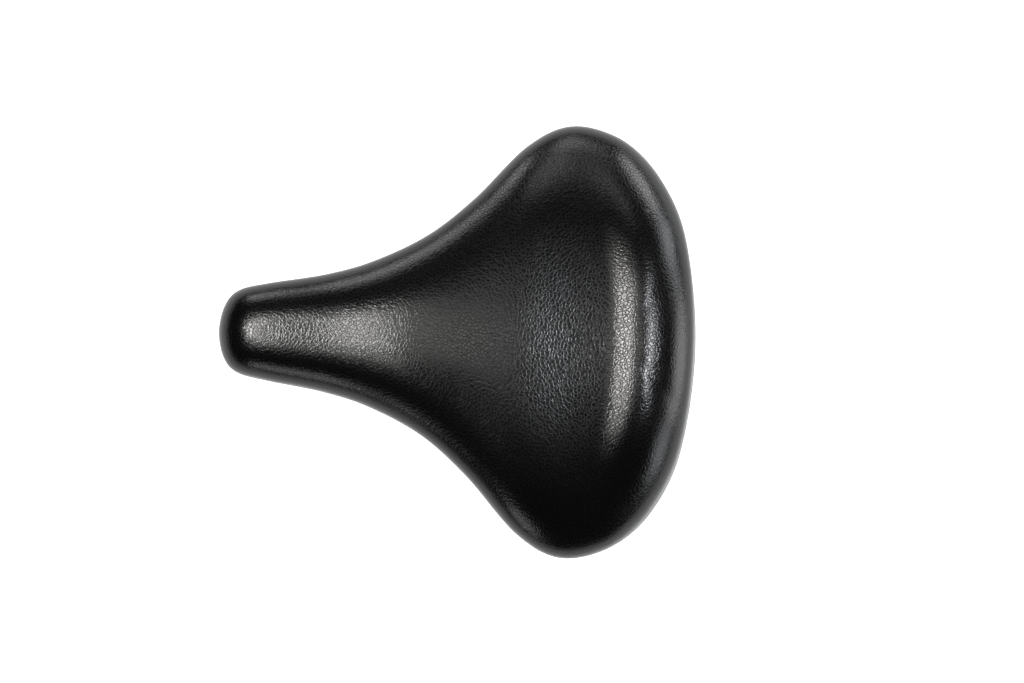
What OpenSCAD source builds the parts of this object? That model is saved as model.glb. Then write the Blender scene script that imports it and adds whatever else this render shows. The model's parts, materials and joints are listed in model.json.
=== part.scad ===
// Sprung comfort saddle for a city bicycle: a padded seat that rocks on a nose pivot over two rear
// coil springs, carried by one bent 7 mm wire in a serrated clamp for a 22.2 mm seat post.
// +X points to the nose, +Y to the rider's left, +Z up. The origin is the centre of the clamp's
// post bore. Millimetres.

/* [Seat] */
// Length of the seat, nose tip to rear edge
seat_length = 255; // [252:1:258]
// Width of the seat across the rear lobes
seat_width = 232; // [228:1:240]
// Height of the sitting surface over the springs, above the clamp's centre
seat_height = 106.4; // [106:0.1:108]
// Height of the rear crest above the sitting surface
crest_rise = 3; // [2:0.1:5]
// Thickness of the vinyl cover
cover_t = 1.2; // [1:0.1:1.4]
// Thickness of the foam under the sitting surface
foam_t = 18.5; // [17:0.5:19]
// Thickness of the foam on top of the nose
nose_foam_t = 12; // [11:0.5:12.5]
// Thickness of the moulded base shell
shell_t = 2.8; // [2.5:0.1:3]

/* [Rails] */
// Diameter of the rail wire
rail_d = 7; // [6.8:0.1:7]
// Distance between the two rails, centre to centre
rail_gauge = 44; // [43:0.5:45]
// Height of the rails above the clamp bolt
rail_z = 12.5; // [12.5:0.5:13.5]
// Thickness of the two steel bridges that hold the springs
bridge_t = 2.5; // [2:0.1:3]

/* [Springs] */
// Wire diameter of the coil springs
spring_wire = 5; // [4.5:0.1:5]
// Mean diameter of the coils
spring_d = 36; // [34:0.5:36]
// Number of turns, closed ends included
spring_turns = 5.5; // [5:0.25:6]
// Distance between the two springs, centre to centre
spring_gauge = 112; // [108:1:113]

/* [Clamp] */
// Diameter of the seat post that the clamp takes
post_d = 22.2; // [22:0.1:22.2]
// Height of the clamp's collar
collar_h = 26; // [24:1:26]
// Diameter of the clamp bolt
bolt_d = 8; // [8:1:8]
// Distance from the seat post's axis back to the clamp bolt
bolt_back = 24; // [24:0.5:25]
// Number of teeth on each serrated face
clamp_teeth = 24; // [18:2:28]

/* [Hidden] */

steel = "#b9bcc0";
black_steel = "#2b2c2e";
black_plastic = "#242527";
round_fn = 64;

// Clearance on the radius of a shaft that turns or slides, on the radius of a fixed screw, and
// between faces that rest on each other
run = 0.05;
loose = 0.2;
seam = 0.05;

// --- Small maths and placing ---
function clamp01(t) = max(0, min(1, t));
function smooth(t) = let (c = clamp01(t)) c * c * (3 - 2 * c);
function mix(a, b, t) = a + (b - a) * t;
function unit(v) = v / norm(v);
function flip_y(p) = [p.x, -p.y];
function reversed(list) = [for (i = [len(list) - 1 : -1 : 0]) list[i]];
function catmull(p, q, r, s, t) =
    0.5 * (2 * q + (r - p) * t + (2 * p - 5 * q + 4 * r - s) * t * t + (3 * q - p - 3 * r + s) * t * t * t);
// A matrix whose columns are three axes and a place
function place(x, y, z, at) = [[x.x, y.x, z.x, at.x], [x.y, y.y, z.y, at.y], [x.z, y.z, z.z, at.z]];

// A rod along Y from y0 to y1
module y_rod(r, y0, y1) {
    translate([0, y1, 0]) rotate([90, 0, 0]) cylinder(r = r, h = y1 - y0, $fn = round_fn);
}
module x_rod(r, x0, x1) {
    translate([x0, 0, 0]) rotate([0, 90, 0]) cylinder(r = r, h = x1 - x0, $fn = round_fn);
}
module z_rod(r, z0, z1) {
    translate([0, 0, z0]) cylinder(r = r, h = z1 - z0, $fn = round_fn);
}
module hexagon(across_flats, h) {
    cylinder(d = across_flats / cos(30), h = h, $fn = 6);
}
module block(low, high) {
    translate(low) cube(high - low);
}
module rounded_rectangle(low, high, r) {
    translate([low.x + r, low.y]) square([high.x - low.x - 2 * r, high.y - low.y]);
    translate([low.x, low.y + r]) square([high.x - low.x, high.y - low.y - 2 * r]);
    for (x = [low.x + r, high.x - r], y = [low.y + r, high.y - r])
        translate([x, y]) circle(r = r, $fn = 32);
}
module on_left_and_right() {
    children();
    mirror([0, 1, 0]) children();
}

// ============================== Clamp ==============================
bolt_x = -bolt_back;
collar_r = post_d / 2 + 3;
ear_r = collar_h / 2;
ear_in = 3;
ear_out = 8.5;
tooth_h = 1;
tooth_w = 1.4;
tooth_from = 6.6;
// The bolt is drawn slackened, so the tips of the facing teeth stand this far apart
slack = 0.35;
disc_in = ear_out + 2 * tooth_h + slack;
cradle_in = 14.8;
cradle_out = 28;
cradle_half = 15;
rail_y = rail_gauge / 2;
rail_r = rail_d / 2;
washer_t = 1.6;
head_h = 5.3;
nut_h = 6.5;

// Radial teeth that stand on a face whose outward normal is +Y, around the bolt
module teeth(y) {
    translate([bolt_x, y, 0]) rotate([-90, 0, 0])
        for (k = [0 : clamp_teeth - 1])
            rotate([0, 0, k * 360 / clamp_teeth]) translate([tooth_from, 0, 0]) rotate([90, 0, 90])
                linear_extrude(ear_r - 0.6 - tooth_from)
                    polygon([[-tooth_w / 2, -0.2], [tooth_w / 2, -0.2], [tooth_w / 2, 0], [0, tooth_h],
                        [-tooth_w / 2, 0]]);
}

module post_collar() {
    color(steel) difference() {
        union() {
            z_rod(collar_r, -collar_h / 2, collar_h / 2);
            on_left_and_right() {
                translate([bolt_x, 0, 0]) y_rod(ear_r, ear_in, ear_out);
                block([bolt_x, ear_in, -ear_r], [-6, ear_out, ear_r]);
                teeth(ear_out);
            }
        }
        z_rod(post_d / 2, -collar_h, collar_h);
        block([-60, -ear_in, -collar_h], [0, ear_in, collar_h]);
        translate([bolt_x, 0, 0]) y_rod(bolt_d / 2 + run, -20, 20);
    }
}

// The outline of a cradle, seen along Y, with x measured from the bolt
module cradle_outline() {
    circle(r = ear_r, $fn = round_fn);
    rounded_rectangle([-cradle_half, 3], [cradle_half, rail_z + 6], 3);
}
module cradle_plate(y0, y1) {
    translate([bolt_x, y1, 0]) rotate([90, 0, 0]) linear_extrude(y1 - y0) cradle_outline();
}
module cradle_holes() {
    translate([bolt_x, 0, 0]) y_rod(bolt_d / 2 + loose, 0, 50);
    translate([0, rail_y, rail_z]) x_rod(rail_r + run, -90, 20);
}
module cradle_inner() {
    difference() {
        union() {
            cradle_plate(cradle_in, rail_y - loose);
            translate([bolt_x, 0, 0]) y_rod(ear_r, disc_in, cradle_in + 0.2);
            translate([0, disc_in, 0]) mirror([0, 1, 0]) teeth(0);
        }
        cradle_holes();
    }
}
module cradle_outer() {
    difference() {
        cradle_plate(rail_y + loose, cradle_out);
        cradle_holes();
        // A pressed recess leaves a raised border around the outer face
        translate([bolt_x, cradle_out + 1, 0]) rotate([90, 0, 0]) linear_extrude(2)
            rounded_rectangle([3 - cradle_half, rail_z - 1.4], [cradle_half - 3, rail_z + 3.4], 1.5);
    }
}
module cradle_inner_left() { color(steel) cradle_inner(); }
module cradle_inner_right() { color(steel) mirror([0, 1, 0]) cradle_inner(); }
module cradle_outer_left() { color(steel) cradle_outer(); }
module cradle_outer_right() { color(steel) mirror([0, 1, 0]) cradle_outer(); }

washer_y = cradle_out + seam;
nut_y = washer_y + washer_t + seam;
module clamp_bolt() {
    color(steel) translate([bolt_x, 0, 0]) {
        y_rod(bolt_d / 2, -nut_y, nut_y + nut_h + 2.5);
        translate([0, -nut_y, 0]) rotate([90, 0, 0]) hexagon(13, head_h);
    }
}
module clamp_nut() {
    color(steel) translate([bolt_x, nut_y + nut_h, 0]) rotate([90, 0, 0]) difference() {
        hexagon(13, nut_h);
        z_rod(bolt_d / 2 + run, -1, nut_h + 1);
    }
}
module clamp_washers() {
    color(steel) on_left_and_right() translate([bolt_x, 0, 0]) difference() {
        y_rod(8, washer_y, washer_y + washer_t);
        y_rod(bolt_d / 2 + loose, washer_y - 1, washer_y + washer_t + 1);
    }
}

// ============================== Rails and springs ==============================
nose_pivot = [98, 0, 64];
nose_wire_half = 11;
rail_end_x = -88;
rail_rise_x = 14;
rise_bend_r = 20;
nose_bend_r = 7;

// A straight rod between two points
module rod(a, b, r) {
    z = unit(b - a);
    side = unit(cross(z, abs(z.z) > 0.9 ? [1, 0, 0] : [0, 0, 1]));
    multmatrix(place(side, cross(z, side), z, a)) cylinder(r = r, h = norm(b - a), $fn = round_fn);
}
// How much of a straight run a bend of radius r takes at the corner q
function bend_cut(p, q, s, r) = r * tan(acos(unit(q - p) * unit(s - q)) / 2);
module bend(p, q, s, wire_r, r) {
    u = unit(q - p);
    v = unit(s - q);
    inward = unit(v - (u * v) * u);
    centre = q - u * bend_cut(p, q, s, r) + inward * r;
    multmatrix(place(-inward, u, cross(-inward, u), centre))
        rotate_extrude(angle = acos(u * v), $fn = round_fn * 2)
            translate([r, 0]) circle(r = wire_r, $fn = round_fn);
}
// A round wire through points, bent to a radius at each inner point. The bends are thicker by
// bend_swell, and the straight runs reach bend_lap into them, so that all pieces join into one.
bend_swell = 0.02;
bend_lap = 0.3;
module bent_wire(points, radii, wire_r) {
    last = len(points) - 1;
    cut = [for (i = [0 : last])
        i == 0 || i == last ? 0
            : bend_cut(points[i - 1], points[i], points[i + 1], radii[i]) - bend_lap];
    for (i = [0 : last - 1]) {
        along = unit(points[i + 1] - points[i]);
        rod(points[i] + along * cut[i], points[i + 1] - along * cut[i + 1], wire_r);
    }
    for (i = [1 : last - 1])
        bend(points[i - 1], points[i], points[i + 1], wire_r + bend_swell, radii[i]);
}

rail_left = [[rail_end_x, rail_y, rail_z], [rail_rise_x, rail_y, rail_z],
    [nose_pivot.x, nose_wire_half, nose_pivot.z]];
rail_points = concat(rail_left, [for (p = reversed(rail_left)) [p.x, -p.y, p.z]]);
rail_bends = [0, rise_bend_r, nose_bend_r, nose_bend_r, rise_bend_r, 0];
module rail_frame() {
    color(black_steel) bent_wire(rail_points, rail_bends, rail_r);
}

spring_x = -72;
spring_y = spring_gauge / 2;
spring_r = spring_d / 2;
bridge_half = 13;
pad_r = spring_r + spring_wire / 2 + 1.5;
flange_h = 8;
flange_half = 38;
stud_r = 3;
lower_z = rail_z + rail_r + seam;
lower_top = lower_z + bridge_t;
upper_z = 71.5;
upper_top = upper_z + bridge_t;
cup_t = 1.5;
cup_rim = 4;
cup_boss = 2;
bead_w = 2;

// A flat plate across the saddle with a round pad under each spring, bolted at the pads
module bridge_plate(z) {
    translate([spring_x, 0, z]) difference() {
        linear_extrude(bridge_t) {
            square([2 * bridge_half, spring_gauge], center = true);
            for (y = [-spring_y, spring_y]) translate([0, y]) circle(r = pad_r, $fn = round_fn);
        }
        for (y = [-spring_y, spring_y]) translate([0, y, 0]) z_rod(stud_r + loose, -1, bridge_t + 1);
    }
}
module lower_bridge() {
    color(black_steel) difference() {
        union() {
            bridge_plate(lower_z);
            for (x = [spring_x - bridge_half, spring_x + bridge_half - bridge_t])
                block([x, -flange_half, lower_z - flange_h], [x + bridge_t, flange_half, lower_z + 1]);
        }
        on_left_and_right() translate([0, rail_y, rail_z]) x_rod(rail_r + seam, -100, -50);
    }
}
module weld_beads() {
    color(black_steel) on_left_and_right() for (front = [0, 1])
        translate([spring_x + (front ? 1 : -1) * (bridge_half + seam), rail_y, rail_z])
            rotate([0, front ? 90 : -90, 0]) difference() {
                cylinder(r1 = rail_r + bead_w, r2 = rail_r + 0.6, h = bead_w, $fn = round_fn);
                z_rod(rail_r + seam, -1, bead_w + 1);
            }
}

spring_bottom = lower_top + cup_t + 2 * seam;
spring_top = upper_z - cup_t - 2 * seam;
rings_per_turn = 18;
wire_sides = 8;
closed_turns = 0.8;
// Height of the wire's centre after t turns: the end turns lie closed, the others share the rest
function coil_z(t) =
    let (
        low = spring_bottom + spring_wire / 2,
        high = spring_top - spring_wire / 2,
        lead = spring_wire * closed_turns * 0.9,
        share = clamp01((t - closed_turns) / (spring_turns - 2 * closed_turns))
    )
    low + lead * clamp01(t / closed_turns) + (high - low - 2 * lead) * share
    + lead * clamp01((t - spring_turns + closed_turns) / closed_turns);
function coil_point(t) = [spring_r * cos(360 * t), spring_r * sin(360 * t), coil_z(t)];
module coil_spring() {
    count = round(spring_turns * rings_per_turn);
    points = [for (i = [0 : count])
        let (
            t = i / rings_per_turn,
            out = [cos(360 * t), sin(360 * t), 0],
            along = unit(coil_point(t + 0.02) - coil_point(t - 0.02)),
            up = unit(cross(along, out))
        )
        for (k = [0 : wire_sides - 1])
            let (a = 360 * (k + 0.5) / wire_sides)
            coil_point(t) + spring_wire / 2 * (cos(a) * out + sin(a) * up)];
    walls = [for (i = [0 : count - 1], k = [0 : wire_sides - 1])
        let (a = i * wire_sides + k, b = i * wire_sides + (k + 1) % wire_sides)
        each [[a, a + wire_sides, b], [b, a + wire_sides, b + wire_sides]]];
    ends = [[for (k = [0 : wire_sides - 1]) k],
        [for (k = [wire_sides - 1 : -1 : 0]) count * wire_sides + k]];
    polyhedron(points, concat(walls, ends), convexity = 8);
}
module spring_left() {
    color(steel) translate([spring_x, spring_y, 0]) coil_spring();
}
module spring_right() {
    color(steel) mirror([0, 1, 0]) translate([spring_x, spring_y, 0]) coil_spring();
}

// A pressed cup whose rim holds the spring from outside and whose boss centres it from inside
module spring_cup() {
    difference() {
        z_rod(pad_r, 0, cup_t + cup_rim);
        difference() {
            z_rod(pad_r - 1, cup_t, cup_t + cup_rim + 1);
            z_rod(spring_r - spring_wire / 2 - 1, 0, cup_t + cup_boss);
        }
        z_rod(stud_r + loose, -1, cup_t + cup_boss + 1);
    }
}
module at_springs(z) {
    on_left_and_right() translate([spring_x, spring_y, z]) children();
}
module lower_spring_cups() {
    color(steel) at_springs(lower_top + seam) spring_cup();
}
module upper_spring_cups() {
    color(steel) at_springs(upper_z - seam) mirror([0, 0, 1]) spring_cup();
}
stud_head = 4;
stud_nut = 5;
// The lower bolt's head is inside the spring and its nut is under the bridge
module lower_spring_bolts() {
    color(steel) at_springs(lower_top + cup_t + cup_boss + 2 * seam) {
        hexagon(10, stud_head);
        z_rod(stud_r, -(bridge_t + cup_t + cup_boss + stud_nut + 2.5), 1);
    }
}
module lower_spring_nuts() {
    color(steel) at_springs(lower_z - seam - stud_nut) difference() {
        hexagon(10, stud_nut);
        z_rod(stud_r + run, -1, stud_nut + 1);
    }
}
// The upper bolt has a flat round head on the bridge and its nut is inside the spring
flat_head = 1.8;
module upper_spring_bolts() {
    color(steel) at_springs(upper_top + seam) {
        z_rod(6.5, 0, flat_head);
        z_rod(stud_r, -(bridge_t + cup_t + cup_boss + stud_nut + 2), 1);
    }
}
module upper_spring_nuts() {
    color(steel) at_springs(upper_z - cup_t - cup_boss - 2 * seam - stud_nut) difference() {
        hexagon(10, stud_nut);
        z_rod(stud_r + run, -1, stud_nut + 1);
    }
}

screw_r = 2;
screw_places = [for (dx = [-7, 7], y = [-30, 30]) [spring_x + dx, y]];
module upper_bridge() {
    color(black_steel) difference() {
        bridge_plate(upper_z);
        for (p = screw_places) translate([p.x, p.y, upper_z]) z_rod(screw_r + loose, -1, bridge_t + 1);
    }
}
// A pan-head screw, its head's seat at z = 0 and its shank going up
module pan_screw(r, shank) {
    z_rod(r, -1, shank);
    difference() {
        translate([0, 0, -1.3 * r]) cylinder(r1 = 1.5 * r, r2 = 1.9 * r, h = 1.3 * r, $fn = round_fn);
        for (a = [0, 90])
            rotate([0, 0, a]) block([-0.9 * r, -0.2 * r, -1.4 * r], [0.9 * r, 0.2 * r, -0.6 * r]);
    }
}
bridge_screw_length = 6.5;
module bridge_screws() {
    color(steel) for (p = screw_places)
        translate([p.x, p.y, upper_z - seam]) pan_screw(screw_r, bridge_screw_length);
}

// ============================== Seat ==============================
// Plan outline, as a share of the length forward of the rear edge and of the half width
rear_x = 130 - seat_length;
outline_shares = [[1, 0], [0.989, 0.12], [0.96, 0.19], [0.896, 0.225], [0.778, 0.27], [0.677, 0.336],
    [0.566, 0.46], [0.47, 0.64], [0.363, 0.897], [0.268, 1], [0.161, 0.933], [0.08, 0.76],
    [0.024, 0.475], [0, 0]];
half_ctrl = [for (s = outline_shares) [rear_x + s.x * seat_length, s.y * seat_width / 2]];
last_ctrl = len(half_ctrl) - 1;
steps = 3;
function ctrl(i) =
    i < 0 ? flip_y(half_ctrl[-i]) : i > last_ctrl ? flip_y(half_ctrl[2 * last_ctrl - i]) : half_ctrl[i];
half_line = [for (i = [0 : last_ctrl - 1], k = [0 : steps - 1])
    catmull(ctrl(i - 1), ctrl(i), ctrl(i + 1), ctrl(i + 2), k / steps)];
outline = concat(half_line, [half_ctrl[last_ctrl]],
    [for (i = [len(half_line) - 1 : -1 : 1]) flip_y(half_line[i])]);
around = len(outline);

// Height of the sitting surface: it falls to the nose and the sides, and rises to a crest at the rear
drops = [[130, 16.4], [112, 12.4], [70, 7.6], [25, 0.8], [-25, -1.2], [-62, 0], [-90, 0], [-130, 0]];
last_drop = len(drops) - 1;
function drop_slope(i) =
    let (a = drops[max(0, i - 1)], b = drops[min(last_drop, i + 1)]) (b.y - a.y) / (b.x - a.x);
function spine_drop(x) =
    let (
        i = max(0, min(last_drop - 1, len([for (p = drops) if (p.x > x) 1]) - 1)),
        a = drops[i],
        b = drops[i + 1],
        w = b.x - a.x,
        t = (x - a.x) / w
    )
    a.y * (2 * pow(t, 3) - 3 * t * t + 1) + b.y * (3 * t * t - 2 * pow(t, 3))
    + w * drop_slope(i) * (pow(t, 3) - 2 * t * t + t) + w * drop_slope(i + 1) * (pow(t, 3) - t * t);
crest_arc = 300;
crest_inset = 27.5;
crest_run = 20;
crest_half_width = 25;
crest_fade = 85;
function forward(x) = smooth((x + 40) / 110);
function side_fall(x) = mix(0.0012, 0.0022, forward(x));
// How far a place lies in from an arc along the rear edge
function arc_inset(x, y) = crest_arc - norm([x - rear_x - crest_arc, y]);
function top_z(x, y) =
    seat_height - spine_drop(x) - side_fall(x) * y * y
    + crest_rise * smooth((crest_inset + crest_run - arc_inset(x, y)) / crest_run)
    * (1 - smooth((abs(y) - crest_half_width) / crest_fade));
function foam_depth(x) = mix(foam_t, nose_foam_t, forward(x));

// Each outline point has a section, from the bottom edge over the shoulder to the middle line.
// flare is 0 where the side tucks under, and 1 at the rear, where the skirt spreads out.
spine_front = 106;
spine_rear = -82;
spine_power = 1.3;
skirt_w = 2;
skirt_lean = 21;
function flare(s) = smooth((-80 - s.x) / 32);
function tuck(s) = 3 * smooth((80 + s.x) / 30);
function spine_x(s) = mix(spine_rear, spine_front, pow((s.x - rear_x) / seat_length, spine_power));
function edge_z(x) = 60 - 3 * smooth((x + 20) / 100);
// The shoulder rolls over along a rounded oval, wider and deeper where the seat widens
roll_power = 0.84;
function roll(part_of_one) = pow(part_of_one, roll_power);
function reach(s) = norm(s - [spine_x(s), 0]);
function widening(s) = smooth((70 - s.x) / 100);
function shoulder_w(s) =
    min(mix(mix(32, 64, widening(s)), 46, flare(s)), 0.84 * reach(s) - skirt_w * flare(s));
function shoulder_h(s) = mix(mix(16, 17, widening(s)), 26, flare(s));

// The place at inset n on the line from the outline point s to its point on the middle line
function plan(s, n) = let (c = [spine_x(s), 0]) c + (s - c) * (1 - n / reach(s));

// A layer is [inset at the sides, depth on top, share of the foam's depth, lift of the bottom edge]
function depth(l, x) = l[1] + l[2] * foam_depth(x);
function shoulder(l, s, part) =
    let (
        lean = skirt_lean * flare(s),
        a = mix(lean, 90, part),
        over = shoulder_w(s) * (roll(cos(lean)) - roll(cos(a))),
        p = plan(s, skirt_w * flare(s) + over + l[0] * cos(a))
    )
    [p.x, p.y, top_z(p.x, p.y) - shoulder_h(s) * (1 - roll(sin(a))) - depth(l, p.x) * sin(a)];
function skirt(l, s, part) =
    let (
        f = flare(s),
        up = shoulder(l, s, 0),
        inset = mix(tuck(s) * (1 - sin(90 * part)), skirt_w * part, f),
        p = plan(s, inset + l[0] * mix(1, cos(skirt_lean * f), part))
    )
    [p.x, p.y, mix(edge_z(s.x) + l[3], up.z, mix(1 - cos(90 * part), part, f))];
function crown(l, s, part) =
    let (
        outer = skirt_w * flare(s) + shoulder_w(s) * roll(cos(skirt_lean * flare(s))),
        p = plan(s, mix(outer, 0.95 * reach(s), part))
    )
    [p.x, p.y, top_z(p.x, p.y) - depth(l, p.x)];
crown_rings = 2;
shoulder_rings = 5;
skirt_rings = 2;
function rings(l) = concat(
    [for (k = [crown_rings : -1 : 1]) [for (s = outline) crown(l, s, k / crown_rings)]],
    [for (k = [shoulder_rings : -1 : 1]) [for (s = outline) shoulder(l, s, k / shoulder_rings)]],
    [for (k = [skirt_rings : -1 : 0]) [for (s = outline) skirt(l, s, k / skirt_rings)]]);

side_foam = 3;
rim = cover_t + side_foam;
fold = cover_t + side_foam + shell_t - 0.6;
cover_face = [0, 0, 0, 0];
cover_back = [cover_t, cover_t, 0, cover_t];
foam_face = [cover_t + seam, cover_t + seam, 0, cover_t + seam];
foam_back = [rim - seam, cover_t - 2 * seam, 1, cover_t + seam];
shell_face = [rim, cover_t, 1, cover_t + seam];
shell_back = [rim + shell_t, cover_t + shell_t, 1, cover_t + seam];
rib_depth = 6;
shell_middle = [rim + shell_t / 2, cover_t + shell_t / 2, 1, cover_t + seam];
rib_edge = [rim + shell_t + 1.5, cover_t + shell_t + rib_depth, 1, 0];

// A closed solid through rings of points, closed across the middle line at both ends
module ring_solid(rings) {
    n = around;
    last = len(rings) - 1;
    half = n / 2;
    walls = [for (r = [0 : last - 1], i = [0 : n - 1])
        let (a = r * n + i, b = r * n + (i + 1) % n, c = a + n, d = b + n)
        each (r < last / 2 ? [[a, b, d], [a, d, c]] : [[a, b, c], [b, d, c]])];
    cap = [for (i = [0 : half - 1])
        each (i == 0 ? [[0, n - 1, 1]]
            : i == half - 1 ? [[i, n - i, half]]
            : [[i, n - i, i + 1], [i + 1, n - i, n - i - 1]])];
    end_cap = [for (f = cap) [last * n + f[0], last * n + f[2], last * n + f[1]]];
    polyhedron([for (r = rings) each r], concat(cap, walls, end_cap), convexity = 6);
}

module cover() {
    // The lower edge turns in under the shell's rim
    function turned(lift) = [for (s = outline)
        let (p = plan(s, tuck(s) + fold)) [p.x, p.y, edge_z(s.x) + lift]];
    color("#1b1b1d") ring_solid(concat(rings(cover_face), [turned(0), turned(cover_t)],
        reversed(rings(cover_back))));
}
module foam_pad() {
    color("#cfc9a8") ring_solid(concat(rings(foam_face), reversed(rings(foam_back))));
}

// --- Base shell with its ribs and screw bosses ---
boss_z = 76;
socket_screw_places = [for (dx = [-10, 10], y = [-8, 8]) [nose_pivot.x + dx, y]];
half_ribs = [[[72, 9], [18, 24]], [[18, 24], [-46, 44]], [[-46, 44], [-46, 88]], [[-97, 22], [-97, 62]],
    [[-46, 44], [-24, 76]], [[18, 24], [6, 46]], [[-97, 22], [-112, 26]], [[-97, 62], [-108, 68]]];
cross_ribs = [[[50, -15], [50, 15]], [[18, -24], [18, 24]], [[-46, -44], [-46, 44]], [[-97, -22], [-97, 22]]];
module rib(a, b) {
    hull() for (p = [a, b]) translate([p.x, p.y, 50]) cylinder(r = 0.9, h = 60, $fn = 8);
}
module boss(p, r, z) {
    translate([p.x, p.y, z]) cylinder(r = r, h = 40, $fn = 16);
}
module base_shell() {
    color(black_plastic) difference() {
        union() {
            ring_solid(concat(rings(shell_face), reversed(rings(shell_back))));
            intersection() {
                ring_solid(rings(shell_middle));
                union() {
                    difference() {
                        union() {
                            for (r = cross_ribs) rib(r[0], r[1]);
                            on_left_and_right() for (r = half_ribs) rib(r[0], r[1]);
                        }
                        ring_solid(rings(rib_edge));
                    }
                    for (p = screw_places) boss(p, 5, upper_top + seam);
                    for (p = socket_screw_places) boss(p, 4, boss_z + seam);
                }
            }
        }
        for (p = screw_places)
            translate([p.x, p.y, upper_top - 1]) cylinder(r = screw_r + 0.1, h = 5.5, $fn = 24);
        for (p = socket_screw_places)
            translate([p.x, p.y, boss_z - 1]) cylinder(r = 1.6, h = 3.5, $fn = 24);
    }
}

// --- Staples that hold the cover's turned edge to the shell's rim ---
staple_every = 4;
staple_half = 4;
staple_wire = 0.8;
staple_leg = 2.6;
module cover_staples() {
    color(steel) for (i = [2 : staple_every : around - 2]) {
        s = outline[i];
        p = plan(s, tuck(s) + rim + shell_t / 2);
        run_dir = outline[(i + 1) % around] - outline[i - 1];
        translate([p.x, p.y, edge_z(s.x) - staple_wire - seam])
            rotate([90, 0, atan2(run_dir.y, run_dir.x)])
            translate([0, 0, -staple_wire / 2]) linear_extrude(staple_wire)
                polygon([[-staple_half, 0], [staple_half, 0], [staple_half, staple_leg],
                    [staple_half - staple_wire, staple_leg], [staple_half - staple_wire, staple_wire],
                    [staple_wire - staple_half, staple_wire], [staple_wire - staple_half, staple_leg],
                    [-staple_half, staple_leg]]);
    }
}

// --- Socket that holds the nose of the rail wire, and its keeper ---
socket_half_y = 4.4;
flange_half_x = 15;
flange_half_y = 12;
socket_top = boss_z;
socket_flange_t = 3.5;
web_half_x = 11;
keeper_h = 5;
keeper_screw_x = 7.4;
keeper_screw_r = 1.5;
module wire_bore() {
    translate([nose_pivot.x, 0, nose_pivot.z]) y_rod(rail_r + run, -20, 20);
}
module nose_socket() {
    color(steel) difference() {
        union() {
            translate([nose_pivot.x, 0, socket_top - socket_flange_t]) linear_extrude(socket_flange_t)
                rounded_rectangle([-flange_half_x, -flange_half_y], [flange_half_x, flange_half_y], 4);
            block([nose_pivot.x - web_half_x, -socket_half_y, nose_pivot.z + loose],
                [nose_pivot.x + web_half_x, socket_half_y, socket_top - 1]);
        }
        wire_bore();
        for (p = socket_screw_places)
            translate([p.x, p.y, socket_top]) z_rod(1.7, -socket_flange_t - 1, 1);
        for (dx = [-keeper_screw_x, keeper_screw_x])
            translate([nose_pivot.x + dx, 0, nose_pivot.z]) z_rod(keeper_screw_r + seam, -1, 9);
    }
}
module socket_screws() {
    color(steel) for (p = socket_screw_places)
        translate([p.x, p.y, socket_top - socket_flange_t - seam]) pan_screw(1.5, 5.5);
}
module nose_keeper() {
    color(steel) difference() {
        block([nose_pivot.x - web_half_x, -socket_half_y, nose_pivot.z - keeper_h],
            [nose_pivot.x + web_half_x, socket_half_y, nose_pivot.z - loose]);
        wire_bore();
        for (dx = [-keeper_screw_x, keeper_screw_x])
            translate([nose_pivot.x + dx, 0, nose_pivot.z]) z_rod(keeper_screw_r + seam, -keeper_h - 1, 1);
    }
}
module keeper_screws() {
    color(steel) for (dx = [-keeper_screw_x, keeper_screw_x])
        translate([nose_pivot.x + dx, 0, nose_pivot.z - keeper_h - seam]) pan_screw(keeper_screw_r, 13);
}

post_collar();
cradle_inner_left();
cradle_inner_right();
cradle_outer_left();
cradle_outer_right();
clamp_bolt();
clamp_nut();
clamp_washers();
rail_frame();
lower_bridge();
weld_beads();
spring_left();
spring_right();
lower_spring_cups();
lower_spring_bolts();
lower_spring_nuts();
upper_spring_cups();
upper_spring_bolts();
upper_spring_nuts();
upper_bridge();
bridge_screws();
base_shell();
foam_pad();
cover();
cover_staples();
nose_socket();
socket_screws();
nose_keeper();
keeper_screws();
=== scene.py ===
"""Sprung comfort saddle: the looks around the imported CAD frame. All lengths are in metres.

+X points to the nose, +Y to the rider's left, +Z up, and the origin is the centre of the clamp's
post bore, as in the CAD model.
"""
import json
import math

import bpy
import numpy as np
from mathutils import Matrix, Vector


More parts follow.
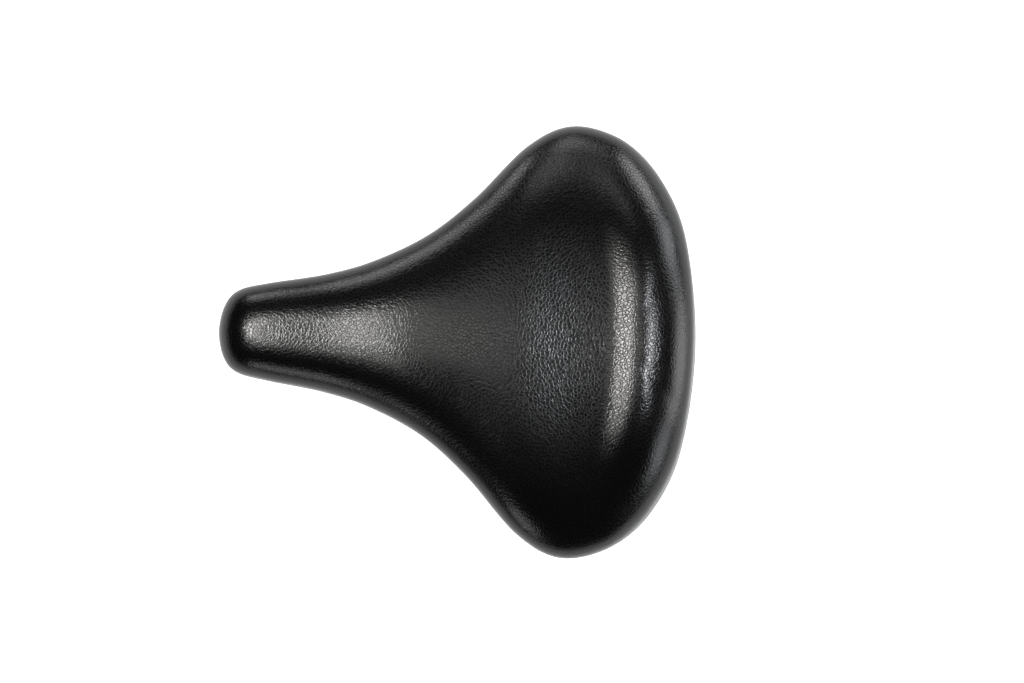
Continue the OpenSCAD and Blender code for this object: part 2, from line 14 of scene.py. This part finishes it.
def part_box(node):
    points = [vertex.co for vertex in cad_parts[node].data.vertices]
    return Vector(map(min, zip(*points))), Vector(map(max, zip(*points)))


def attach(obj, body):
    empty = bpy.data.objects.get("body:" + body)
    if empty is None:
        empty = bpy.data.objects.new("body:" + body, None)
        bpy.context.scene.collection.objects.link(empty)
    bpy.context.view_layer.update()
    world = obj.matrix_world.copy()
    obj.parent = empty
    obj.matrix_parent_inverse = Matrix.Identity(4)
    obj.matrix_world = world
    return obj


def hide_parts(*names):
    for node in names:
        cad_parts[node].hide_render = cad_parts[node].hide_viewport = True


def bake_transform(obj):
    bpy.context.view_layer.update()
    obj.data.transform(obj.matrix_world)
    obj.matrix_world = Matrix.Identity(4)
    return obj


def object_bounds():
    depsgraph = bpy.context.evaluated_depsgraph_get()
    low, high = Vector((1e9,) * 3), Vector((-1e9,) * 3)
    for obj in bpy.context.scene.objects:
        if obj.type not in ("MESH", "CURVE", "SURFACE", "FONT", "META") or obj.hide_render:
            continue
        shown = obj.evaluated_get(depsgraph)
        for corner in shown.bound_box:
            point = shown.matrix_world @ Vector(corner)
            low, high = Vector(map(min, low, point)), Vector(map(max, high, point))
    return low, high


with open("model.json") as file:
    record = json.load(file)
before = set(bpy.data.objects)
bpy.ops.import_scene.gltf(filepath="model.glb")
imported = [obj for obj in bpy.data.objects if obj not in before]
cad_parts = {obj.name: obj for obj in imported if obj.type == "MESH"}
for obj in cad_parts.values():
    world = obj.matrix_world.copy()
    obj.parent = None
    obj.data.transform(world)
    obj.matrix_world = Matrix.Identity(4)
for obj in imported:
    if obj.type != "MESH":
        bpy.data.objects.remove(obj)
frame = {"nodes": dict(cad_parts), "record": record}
cad_low, cad_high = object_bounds()
nodes = frame["nodes"]
scene = bpy.context.scene
MM = 0.001


# ------------------------------------------------------------------ meshes
def smoothstep(t):
    t = np.clip(t, 0.0, 1.0)
    return t * t * (3.0 - 2.0 * t)


def mix(a, b, t):
    return a + (b - a) * t


def mesh_object(name, vertices, faces, material):
    mesh = bpy.data.meshes.new(name)
    mesh.from_pydata([tuple(map(float, v)) for v in vertices], [], faces)
    mesh.update()
    obj = bpy.data.objects.new(name, mesh)
    scene.collection.objects.link(obj)
    for polygon in mesh.polygons:
        polygon.use_smooth = True
    mesh.materials.append(material)
    return obj


# ------------------------------------------------------------------ materials
class Shader:
    """A material's node tree, with short calls for the nodes used here."""

    def __init__(self, name, **constants):
        self.material = bpy.data.materials.new(name)
        self.material.use_nodes = True
        self.tree = self.material.node_tree
        self.bsdf = self.tree.nodes["Principled BSDF"]
        for socket, value in constants.items():
            self.bsdf.inputs[socket.replace("_", " ")].default_value = value
        self.place = self.node("ShaderNodeTexCoord").outputs["Object"]

    def node(self, kind, inputs=None, **settings):
        made = self.tree.nodes.new(kind)
        for key, value in settings.items():
            setattr(made, key, value)
        for key, value in (inputs or {}).items():
            self.set(made.inputs[key], value)
        return made

    def set(self, socket, value):
        if isinstance(value, bpy.types.NodeSocket):
            self.tree.links.new(value, socket)
        else:
            socket.default_value = value

    def noise(self, size, detail=3.0, output="Fac"):
        settings = {"Vector": self.place, "Scale": 1.0 / size, "Detail": detail}
        return self.node("ShaderNodeTexNoise", settings).outputs[output]

    def warped(self, size, amount):
        """The object's coordinates, pushed about by a noise."""
        colour = self.noise(size, 2.0, "Color")
        centred = self.vector_maths("SUBTRACT", {0: colour, 1: (0.5, 0.5, 0.5)})
        scaled = self.vector_maths("SCALE", {0: centred, "Scale": amount})
        return self.vector_maths("ADD", {0: self.place, 1: scaled})

    def vector_maths(self, operation, inputs):
        return self.node("ShaderNodeVectorMath", inputs, operation=operation).outputs[0]

    def cells(self, size, place, feature="DISTANCE_TO_EDGE"):
        settings = {"Vector": place, "Scale": 1.0 / size}
        return self.node("ShaderNodeTexVoronoi", settings, feature=feature).outputs["Distance"]

    def spread(self, value, low, high, to_low, to_high, smooth=False):
        ends = {"From Min": low, "From Max": high, "To Min": to_low, "To Max": to_high}
        made = self.node("ShaderNodeMapRange", {"Value": value, **ends})
        made.interpolation_type = "SMOOTHSTEP" if smooth else "LINEAR"
        return made.outputs["Result"]

    def maths(self, operation, a, b):
        return self.node("ShaderNodeMath", {0: a, 1: b}, operation=operation).outputs[0]

    def blend(self, factor, a, b):
        made = self.node("ShaderNodeMix", data_type="RGBA")
        self.set(made.inputs[0], factor)
        self.set(made.inputs[6], (*a, 1.0) if isinstance(a, tuple) else a)
        self.set(made.inputs[7], (*b, 1.0) if isinstance(b, tuple) else b)
        return made.outputs[2]

    def bump(self, height, strength, distance):
        settings = {"Height": height, "Strength": strength, "Distance": distance}
        return self.node("ShaderNodeBump", settings).outputs["Normal"]

    def finish(self, colour, roughness, normal=None):
        self.set(self.bsdf.inputs["Base Color"], colour)
        self.set(self.bsdf.inputs["Roughness"], roughness)
        if normal:
            self.set(self.bsdf.inputs["Normal"], normal)
        return self.material


def vinyl():
    """Pebble grain: rounded cells between creases, on a satin skin; the creases carry painted shade,
    coloured darker than the cells.
    """
    s = Shader("vinyl_leatherette", Specular_IOR_Level=0.5)
    place = s.warped(0.003, 0.0009)
    edge = s.cells(0.0018, place)
    dome = s.spread(edge, 0.0, 0.2, 0.0, 1.0, smooth=True)
    # Mask of the creases: it darkens their colour as painted shade and makes them rougher
    crease_with_painted_shade = s.spread(edge, 0.0, 0.07, 1.0, 0.0, smooth=True)
    fine = s.noise(0.0004, 4.0)
    broad = s.noise(0.05, 2.0)
    height = s.maths("ADD", dome, s.maths("MULTIPLY", fine, 0.3))
    # Painted shade: the creases are coloured darker than the cells, standing in for the shade that
    # falls in them
    colour = s.blend(crease_with_painted_shade, (0.0022, 0.0022, 0.0023), (0.001, 0.001, 0.001))
    rough = s.spread(broad, 0.3, 0.7, 0.18, 0.21)
    rough = s.maths("ADD", rough, s.maths("MULTIPLY", crease_with_painted_shade, 0.12))
    return s.finish(colour, rough, s.bump(height, 0.13, 0.0003))


def moulded_plastic():
    s = Shader("moulded_plastic", Specular_IOR_Level=0.45)
    grain = s.noise(0.0006, 5.0)
    cloud = s.noise(0.02, 3.0)
    colour = s.blend(cloud, (0.014, 0.014, 0.015), (0.022, 0.022, 0.023))
    rough = s.spread(grain, 0.3, 0.7, 0.5, 0.68)
    return s.finish(colour, rough, s.bump(grain, 0.35, 0.0002))


def powder_coat():
    s = Shader("black_powder_coat", Specular_IOR_Level=0.5)
    peel = s.noise(0.0012, 3.0)
    dust = s.spread(s.noise(0.012, 6.0), 0.55, 0.75, 0.0, 1.0)
    colour = s.blend(dust, (0.011, 0.011, 0.012), (0.02, 0.02, 0.021))
    rough = s.spread(peel, 0.3, 0.7, 0.27, 0.4)
    return s.finish(colour, rough, s.bump(peel, 0.25, 0.0002))


def zinc_plate():
    s = Shader("zinc_plated_steel", Metallic=1.0)
    spangle = s.noise(0.004, 5.0)
    scuff = s.noise(0.0004, 4.0)
    colour = s.blend(spangle, (0.42, 0.43, 0.44), (0.62, 0.62, 0.61))
    rough = s.spread(scuff, 0.3, 0.7, 0.26, 0.42)
    return s.finish(colour, rough, s.bump(scuff, 0.2, 0.0001))


def chrome_wire():
    s = Shader("chromed_spring_wire", Metallic=1.0)
    draw = s.noise(0.0015, 4.0)
    colour = s.blend(draw, (0.6, 0.61, 0.62), (0.75, 0.75, 0.76))
    rough = s.spread(draw, 0.3, 0.7, 0.12, 0.24)
    return s.finish(colour, rough, s.bump(draw, 0.1, 0.0001))


def open_foam():
    s = Shader("moulded_foam", Specular_IOR_Level=0.2)
    pores = s.cells(0.0012, s.place, "F1")
    colour = s.blend(s.noise(0.01, 3.0), (0.55, 0.5, 0.34), (0.66, 0.6, 0.43))
    rough = s.spread(pores, 0.0, 1.0, 0.8, 0.95)
    return s.finish(colour, rough, s.bump(pores, 0.5, 0.0004))


VINYL = vinyl()
PLASTIC = moulded_plastic()
POWDER = powder_coat()
ZINC = zinc_plate()
CHROME = chrome_wire()
FOAM = open_foam()

SLOT_MATERIALS = {"vinyl": VINYL, "foam": FOAM, "shell_plastic": PLASTIC, "black_steel": POWDER,
                  "spring_chrome": CHROME, "zinc_steel": ZINC}
for part in frame["record"]["subparts"]:
    cad = nodes[part["node"]]
    cad.data.materials.clear()
    cad.data.materials.append(SLOT_MATERIALS[part["material_slot"]])

# ------------------------------------------------------------------ the seat's shape
# The CAD solids' section rule, in millimetres, drawn much finer and with the rear crest a little higher
seat_low, seat_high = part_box("cover")
FRONT_X = seat_high.x / MM
REAR_X = seat_low.x / MM
LENGTH = FRONT_X - REAR_X
HALF_WIDTH = seat_high.y / MM
# The seat's middle lies this far under the top of the CAD cover
CREST_OVER_SEAT = 2.37
SEAT_HEIGHT = seat_high.z / MM - CREST_OVER_SEAT
CREST_RISE = 4.2
COVER_T = 1.2
SIDE_FOAM = 3.0
SHELL_T = 2.8
SEAM = 0.05

# Corners of the plan's left half, as shares of the length from the rear and of the half width
OUTLINE_SHARES = [(1, 0), (0.989, 0.12), (0.96, 0.19), (0.896, 0.225), (0.778, 0.27), (0.677, 0.336),
                  (0.566, 0.46), (0.47, 0.64), (0.363, 0.897), (0.268, 1), (0.161, 0.933), (0.08, 0.76),
                  (0.024, 0.475), (0, 0)]
OUTLINE_STEPS = 14


def catmull(p, q, r, s, t):
    cubic = (2 * p - 5 * q + 4 * r - s) * t ** 2 + (3 * q - p - 3 * r + s) * t ** 3
    return 0.5 * (2 * q + (r - p) * t + cubic)


def outline_points():
    half = [np.array([REAR_X + u * LENGTH, v * HALF_WIDTH]) for u, v in OUTLINE_SHARES]
    flip = np.array([1, -1])
    extended = [half[1] * flip] + half + [half[-2] * flip]
    left = [catmull(*extended[i:i + 4], k / OUTLINE_STEPS)
            for i in range(len(half) - 1) for k in range(OUTLINE_STEPS)]
    left.append(half[-1])
    return np.array(left + [p * flip for p in left[-2:0:-1]])


# Points of the middle line: how far forward, and how far under SEAT_HEIGHT
DROPS = [(130, 16.4), (112, 12.4), (70, 7.6), (25, 0.8), (-25, -1.2), (-62, 0), (-90, 0), (-130, 0)]


def spine_drop(x):
    """The height lost along the middle line, as a cubic curve through DROPS."""
    last = len(DROPS) - 1
    xs = np.array([p[0] for p in DROPS], float)
    ys = np.array([p[1] for p in DROPS], float)
    after = np.minimum(np.arange(last + 1) + 1, last)
    before = np.maximum(np.arange(last + 1) - 1, 0)
    slopes = (ys[after] - ys[before]) / (xs[after] - xs[before])
    i = np.clip(np.searchsorted(-xs, -x, side="left") - 1, 0, last - 1)
    w = xs[i + 1] - xs[i]
    t = (x - xs[i]) / w
    return (ys[i] * (2 * t ** 3 - 3 * t ** 2 + 1) + ys[i + 1] * (3 * t ** 2 - 2 * t ** 3)
            + w * slopes[i] * (t ** 3 - 2 * t ** 2 + t) + w * slopes[i + 1] * (t ** 3 - t ** 2))


# The crest follows an arc along the rear edge, and fades towards the sides
CREST_ARC = 300.0
CREST_INSET = 27.5
CREST_RUN = 20.0
CREST_HALF_WIDTH = 25.0
CREST_FADE = 85.0
REAR_FALL = 0.0012
NOSE_FALL = 0.0022
REAR_FOAM = 18.5
NOSE_FOAM = 12.0


def forward(x):
    """0 over the rear of the seat and 1 along the nose."""
    return smoothstep((x + 40) / 110)


def top_z(x, y):
    arc_inset = CREST_ARC - np.hypot(x - REAR_X - CREST_ARC, y)
    crest = smoothstep((CREST_INSET + CREST_RUN - arc_inset) / CREST_RUN)
    crest = crest * (1 - smoothstep((np.abs(y) - CREST_HALF_WIDTH) / CREST_FADE))
    fall = mix(REAR_FALL, NOSE_FALL, forward(x)) * y ** 2
    return SEAT_HEIGHT - spine_drop(x) - fall + CREST_RISE * crest


# One value for each point of the outline. FLARE is 1 around the rear, and TUCK draws the sides' edge in
OUTLINE = outline_points()
AROUND = len(OUTLINE)
SX = OUTLINE[:, 0]
FLARE = smoothstep((-80 - SX) / 32)
TUCK = 3 * smoothstep((80 + SX) / 30)
SKIRT_W = 2.0
SKIRT_LEAN = math.radians(21)
SPINE = np.stack([mix(-82, 106, ((SX - REAR_X) / LENGTH) ** 1.3), np.zeros(AROUND)], 1)
REACH = np.linalg.norm(OUTLINE - SPINE, axis=1)
EDGE_Z = 60 - 3 * smoothstep((SX + 20) / 100)
WIDENING = smoothstep((70 - SX) / 100)
SHOULDER_W = np.minimum(mix(mix(32, 64, WIDENING), 46, FLARE), 0.84 * REACH - SKIRT_W * FLARE)
SHOULDER_H = mix(mix(16, 17, WIDENING), 26, FLARE)
ROLL_POWER = 0.84


def roll(share):
    return np.clip(share, 0, 1) ** ROLL_POWER


def plan(inset):
    """Points this far in from the outline, on the plan lines that run to the middle."""
    return SPINE + (OUTLINE - SPINE) * (1 - inset / REACH)[:, None]


# A layer is (inset at the sides, depth on top, share of the foam's depth, lift of the bottom edge)
def depth(layer, x):
    return layer[1] + layer[2] * mix(REAR_FOAM, NOSE_FOAM, forward(x))


def shoulder(layer, part):
    lean = SKIRT_LEAN * FLARE
    a = mix(lean, math.pi / 2, part)
    over = SHOULDER_W * (roll(np.cos(lean)) - roll(np.cos(a)))
    p = plan(SKIRT_W * FLARE + over + layer[0] * np.cos(a))
    under = SHOULDER_H * (1 - roll(np.sin(a))) + depth(layer, p[:, 0]) * np.sin(a)
    return np.column_stack([p, top_z(p[:, 0], p[:, 1]) - under])


def skirt(layer, part):
    top = shoulder(layer, 0.0)
    bow = math.sin(part * math.pi / 2)
    inset = mix(TUCK * (1 - bow), SKIRT_W * part, FLARE)
    p = plan(inset + layer[0] * mix(1, np.cos(SKIRT_LEAN * FLARE), part))
    z = mix(EDGE_Z + layer[3], top[:, 2], mix(1 - math.cos(part * math.pi / 2), part, FLARE))
    return np.column_stack([p, z])


def crown(layer, part):
    outer = SKIRT_W * FLARE + SHOULDER_W * roll(np.cos(SKIRT_LEAN * FLARE))
    p = plan(mix(outer, REACH * 0.97, part))
    return np.column_stack([p, top_z(p[:, 0], p[:, 1]) - depth(layer, p[:, 0])])


CROWN_STEPS = 12
SHOULDER_STEPS = 40
SKIRT_STEPS = 12
FINE = 90
HIDDEN_RINGS = 31
ROUNDING = 16


def seat_rings(layer, count):
    """Rings from the middle line out and down to the edge, evenly spaced, with the corners rounded."""
    made = [crown(layer, k / CROWN_STEPS) for k in range(CROWN_STEPS, 0, -1)]
    made += [shoulder(layer, (k / SHOULDER_STEPS) ** 1.3) for k in range(SHOULDER_STEPS, 0, -1)]
    made += [skirt(layer, k / SKIRT_STEPS) for k in range(SKIRT_STEPS, -1, -1)]
    made = np.array(made)
    run = np.linalg.norm(np.diff(made, axis=0), axis=2)
    run = np.vstack([np.zeros(AROUND), np.cumsum(run, axis=0)])
    share = np.linspace(0, 1, FINE + 1)
    even = np.empty((FINE + 1, AROUND, 3))
    for i in range(AROUND):
        for axis in range(3):
            even[:, i, axis] = np.interp(share * run[-1, i], run[:, i], made[:, i, axis])
    for _ in range(ROUNDING):
        even[1:-1] = (even[:-2] + 2 * even[1:-1] + even[2:]) / 4
    return [even[k] for k in np.linspace(0, FINE, count).astype(int)]


def ring_faces(count):
    """Quads between rings, closed across the middle line at both ends."""
    n = AROUND
    faces = [(r * n + i, r * n + (i + 1) % n, (r + 1) * n + (i + 1) % n, (r + 1) * n + i)
             for r in range(count - 1) for i in range(n)]
    for base, turn in ((0, 1), ((count - 1) * n, -1)):
        for i in range(n // 2):
            quad = [i, (n - i) % n, (n - i - 1) % n, i + 1]
            ring = [base + v for k, v in enumerate(quad) if v not in quad[:k]]
            faces.append(tuple(ring[::turn]))
    return faces


def turned_edge(lift, inset):
    """A ring under the shell's rim."""
    p = plan(TUCK + inset)
    return np.column_stack([p, EDGE_Z + lift])


def seat_piece(name, rings, material, slot, *replaced):
    piece = mesh_object(name, np.concatenate(rings) * MM, ring_faces(len(rings)), material)
    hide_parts(*replaced)
    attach(piece, "seat")
    return piece


def vinyl_cover():
    """The cover: rounded at its bottom edge and turned in under the shell's rim, in small pleats."""
    around = np.arange(AROUND) / AROUND * 2 * math.pi
    pleat = 0.5 + 0.5 * np.sin(61 * around + 2 * np.sin(7 * around))
    fold = COVER_T + SIDE_FOAM + SHELL_T - 0.6 + 0.5 * np.sin(9 * around) * np.sin(23 * around)
    outside = seat_rings((0, 0, 0, 0), FINE + 1)
    outside[-1][:, 2] += 0.9
    outside += [turned_edge(0.35, 0.12), turned_edge(0.08, 0.45), turned_edge(0.0, 1.1)]
    outside += [turned_edge(0.25 * pleat, 0.55 * fold), turned_edge(0.45 * pleat, fold)]
    inside = [turned_edge(COVER_T, fold), turned_edge(COVER_T, COVER_T + 0.4)]
    inside += seat_rings((COVER_T, COVER_T, 0, COVER_T), HIDDEN_RINGS)[::-1]
    piece = seat_piece("seat_cover", outside + inside, VINYL, "vinyl", "cover")


def foam_cushion():
    """The foam between the cover and the shell, clear of both by SEAM."""
    gap = COVER_T + SEAM
    outside = seat_rings((gap, gap, 0, gap), HIDDEN_RINGS)
    inside = seat_rings((COVER_T + SIDE_FOAM - SEAM, COVER_T - 2 * SEAM, 1, gap), HIDDEN_RINGS)
    piece = seat_piece("foam_cushion", outside + inside[::-1], FOAM, "foam", "foam_pad")


vinyl_cover()
foam_cushion()

# ------------------------------------------------------------------ springs
WIRE = 5.0 * MM
COIL_R = 18.0 * MM
SPRING_Y = 56.0 * MM
TURNS = 5.5
CLOSED = 0.8
WIRE_SIDES = 20
STEPS_PER_TURN = 48


def spring(name, node):
    """A coil spring whose first and last CLOSED turns lie nearly flat."""
    low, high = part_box(node)
    side = 1 if low.y > 0 else -1
    centre_x = (low.x + high.x) / 2
    centre_y = side * SPRING_Y
    bottom = low.z + WIRE / 2
    top = high.z - WIRE / 2
    lead = WIRE * CLOSED * 0.9
    sides = WIRE_SIDES
    count = int(TURNS * STEPS_PER_TURN)

    def point(t):
        share = min(max((t - CLOSED) / (TURNS - 2 * CLOSED), 0), 1)
        z = bottom + lead * min(t / CLOSED, 1) + (top - bottom - 2 * lead) * share
        z += lead * min(max((t - TURNS + CLOSED) / CLOSED, 0), 1)
        a = 2 * math.pi * t
        return Vector((centre_x + COIL_R * math.cos(a), centre_y + side * COIL_R * math.sin(a), z))

    vertices = []
    for i in range(count + 1):
        t = i / STEPS_PER_TURN
        a = 2 * math.pi * t
        out = Vector((math.cos(a), side * math.sin(a), 0))
        along = (point(t + 0.01) - point(t - 0.01)).normalized()
        up = along.cross(out).normalized()
        for k in range(sides):
            b = 2 * math.pi * k / sides
            vertices.append(point(t) + (out * math.cos(b) + up * math.sin(b)) * WIRE / 2)
    faces = []
    for ring in range(0, count * sides, sides):
        for k in range(sides):
            beside = (k + 1) % sides
            faces.append((ring + k, ring + sides + k, ring + sides + beside, ring + beside))
    faces.append(tuple(range(sides)))
    faces.append(tuple(count * sides + k for k in reversed(range(sides))))
    if side < 0:
        faces = [f[::-1] for f in faces]
    made = mesh_object(name, vertices, faces, CHROME)
    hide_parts(node)
    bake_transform(made)


spring("coil_spring_left", "spring_left")
spring("coil_spring_right", "spring_right")

# ------------------------------------------------------------------ floor, camera and light
floor_z = cad_low.z - 0.5 * MM
FLOOR_R = 4.0
FLOOR_SIDES = 96
WALL_H = 4.0


def paper(name, glow):
    s = Shader(name, Specular_IOR_Level=0.1, Emission_Color=(1, 1, 1, 1), Emission_Strength=glow)
    tone = s.blend(s.noise(0.3), (0.84, 0.84, 0.84), (0.86, 0.86, 0.86))
    return s.finish(tone, s.spread(s.noise(0.002), 0.3, 0.7, 0.85, 0.95))


def floor_disc(name, z, glow, wall=0.0):
    """A round floor, with a wall of this height around it unless that is 0."""
    n = FLOOR_SIDES
    turns = np.linspace(0, 2 * math.pi, n, endpoint=False)
    corners = [(FLOOR_R * math.cos(a), FLOOR_R * math.sin(a), z) for a in turns]
    faces = [tuple(range(n))]
    if wall:
        corners += [(x, y, z + wall) for x, y, z in corners]
        faces += [((i + 1) % n, i, n + i, n + (i + 1) % n) for i in range(n)]
    disc = mesh_object(name, corners, faces, paper(name + "_paper", glow))
    return disc


# The white floor and wall that are seen, and under them the dimmer floor that the object reflects
floor = floor_disc("floor", floor_z, 0.85, WALL_H)
floor.visible_glossy = False
floor.visible_diffuse = False
floor.visible_shadow = False
bounce = floor_disc("floor_bounce", floor_z - MM, 0.32)
bounce.visible_camera = False

# The camera looks straight down but for a slight tilt, and sees the nose on the left
AIM = Vector((-0.0268, 0.0012, 0.072))
BACK = Vector((-0.037, 0.079, 1.0)).normalized()
CAMERA_DISTANCE = 1.4
ROLL = math.radians(1.6)
VIEW_WIDTH = 0.5465
SENSOR = 36
camera_data = bpy.data.cameras.new("camera")
camera = bpy.data.objects.new("camera", camera_data)
scene.collection.objects.link(camera)
side = Vector((-math.cos(ROLL), -math.sin(ROLL), 0))
right = (side - BACK * side.dot(BACK)).normalized()
axes = Matrix((right, BACK.cross(right), BACK)).transposed().to_4x4()
camera.matrix_world = Matrix.Translation(AIM + BACK * CAMERA_DISTANCE) @ axes
camera_data.sensor_width = SENSOR
camera_data.lens = SENSOR * CAMERA_DISTANCE / VIEW_WIDTH
scene.camera = camera

LIGHT_DISTANCE = 1.6
LIGHT_HEIGHT = 0.08


def softbox(name, from_vertical, azimuth, size, power, colour, slimness=1.0):
    """A soft light that faces the object. Azimuth 0 is at the nose, and 90 on the rider's left."""
    data = bpy.data.lights.new(name, "AREA")
    data.shape = "ELLIPSE"
    data.size = size
    data.size_y = size / slimness
    data.energy = power
    data.color = colour
    light = bpy.data.objects.new(name, data)
    scene.collection.objects.link(light)
    t = math.radians(from_vertical)
    a = math.radians(azimuth)
    towards = Vector((math.sin(t) * math.cos(a), math.sin(t) * math.sin(a), math.cos(t)))
    light.location = towards * LIGHT_DISTANCE + Vector((0, 0, LIGHT_HEIGHT))
    light.rotation_mode = "QUATERNION"
    light.rotation_quaternion = (-towards).to_track_quat("-Z", "Y")


WARM = (1.0, 0.985, 0.96)
PLAIN = (1.0, 1.0, 1.0)
COOL = (0.94, 0.965, 1.0)
softbox("key_nose", 31, 352, 0.5, 8.6, WARM, 2.8)
softbox("key_nose_far_left", 30, 20, 0.3, 1.2, WARM)
softbox("key_nose_high", 14, 356, 0.36, 0.35, WARM)
softbox("top", 7, 330, 0.35, 0.9, WARM)
softbox("top_nose_right", 20, 325, 0.35, 0.6, WARM)
softbox("rear_high", 18, 186, 0.4, 6.5, COOL, 2.4)
softbox("rear_upper", 22, 215, 0.3, 1.0, COOL)
softbox("edge_rear", 76, 180, 0.9, 8.0, PLAIN)
softbox("edge_rear_right", 70, 214, 0.8, 6.5, COOL)
softbox("edge_rear_left", 70, 148, 0.8, 4.5, COOL)
softbox("edge_right_rear", 74, 240, 0.5, 4.2, PLAIN)
softbox("edge_right", 74, 270, 0.5, 1.8, PLAIN)
softbox("edge_right_nose", 74, 300, 0.5, 2.6, PLAIN)
softbox("edge_left_nose", 74, 65, 0.5, 1.5, PLAIN)
softbox("side_right", 52, 275, 0.5, 1.2, PLAIN)

world = bpy.data.worlds.new("studio")
world.use_nodes = True
world.node_tree.nodes["Background"].inputs["Color"].default_value = (0.01, 0.01, 0.01, 1)
scene.world = world
scene.view_settings.view_transform = "Standard"
scene.view_settings.look = "None"
